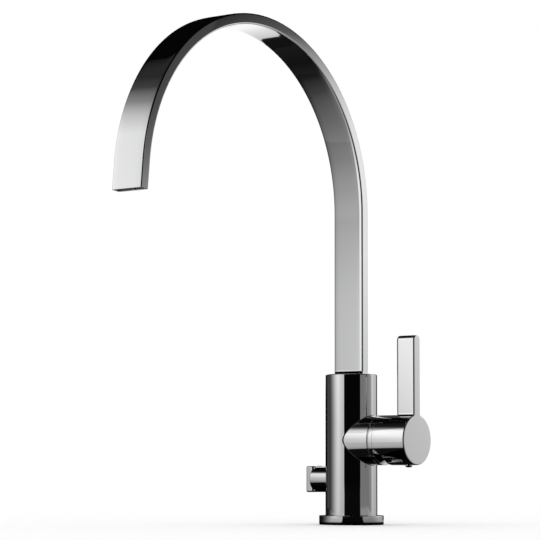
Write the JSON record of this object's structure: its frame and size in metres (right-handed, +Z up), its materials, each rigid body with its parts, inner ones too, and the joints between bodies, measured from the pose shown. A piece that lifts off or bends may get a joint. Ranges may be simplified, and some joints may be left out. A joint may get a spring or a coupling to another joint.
{
  "type": "three way filtered water tap",
  "caption": "Chromed kitchen tap with a high flat arched swivel spout, a side mixer lever that turns and tilts, and a small side knob for filtered water.",
  "frame": {"origin": "mouth of the fixing stud thread, in the middle of the base flange underside on the body axis, level with the worktop", "axes": "+Z up along the body, spout reaches towards -Y, mixer lever on +X, filtered water knob on -X"},
  "size_m": [0.1118, 0.3281, 0.4222],
  "materials": {
    "chrome": "polished",
    "brass": "machined",
    "rubber": "matte",
    "steel": "brushed",
    "pom": "matte moulded",
    "dark_plastic": "matte moulded",
    "alumina": "lapped"
  },
  "bodies": {
    "body": {"base_flange": "chrome", "base_gasket": "rubber", "body_shell": "chrome", "body_core": "brass", "spout_stop_screw": "steel", "swivel_bush_lower": "pom", "swivel_bush_upper": "pom", "collar_ring": "chrome", "collar_screw": "steel", "cartridge_nut": "brass", "cartridge_base": "pom", "cartridge_seals": "rubber", "cartridge_housing": "pom", "ceramic_disc_fixed": "alumina", "filter_headwork": "brass", "headwork_seal": "rubber", "valve_disc_fixed": "alumina", "filter_tube_seal": "rubber"},
    "rotor": {"cartridge_rotor": "pom", "spindle_pin": "steel"},
    "carrier": {"disc_carrier": "pom", "ceramic_disc_moving": "alumina"},
    "lever": {"cartridge_spindle": "brass", "lever_handle": "chrome", "handle_grub_screw": "steel", "handle_plug": "chrome"},
    "filter_valve": {"valve_disc_moving": "alumina", "valve_stem": "brass", "filter_knob": "chrome", "knob_grub_screw": "steel"},
    "spout": {"spout_tube": "chrome", "spout_spigot": "chrome", "spigot_o_rings": "rubber", "filter_tube": "pom", "outlet_insert": "dark_plastic", "filter_nozzle": "chrome"}
  },
  "joints": [
    {"name": "spout_swivel", "type": "hinge", "parent": "body", "child": "spout", "pos_m": [0, 0, 0.13], "axis": [0, 0, 1], "range_deg": [-60, 60]},
    {"name": "lever_temperature", "type": "hinge", "parent": "body", "child": "rotor", "pos_m": [0.038, 0, 0.0727], "axis": [1, 0, 0], "range_deg": [-45, 45]},
    {"name": "lever_flow", "type": "hinge", "parent": "rotor", "child": "lever", "pos_m": [0.038, 0, 0.0657], "axis": [0, 1, 0], "range_deg": [0, 25]},
    {"name": "disc_slide", "type": "slide", "parent": "rotor", "child": "carrier", "axis": [0, 0, 1], "range_m": [0, 0.00827]},
    {"name": "filter_turn", "type": "hinge", "parent": "body", "child": "filter_valve", "pos_m": [-0.03, 0, 0.0392], "axis": [1, 0, 0], "range_deg": [0, 90]}
  ],
  "couplings": [
    {"joint": "disc_slide", "follows": "lever_flow", "m_per_rad": 0.0189}
  ]
}
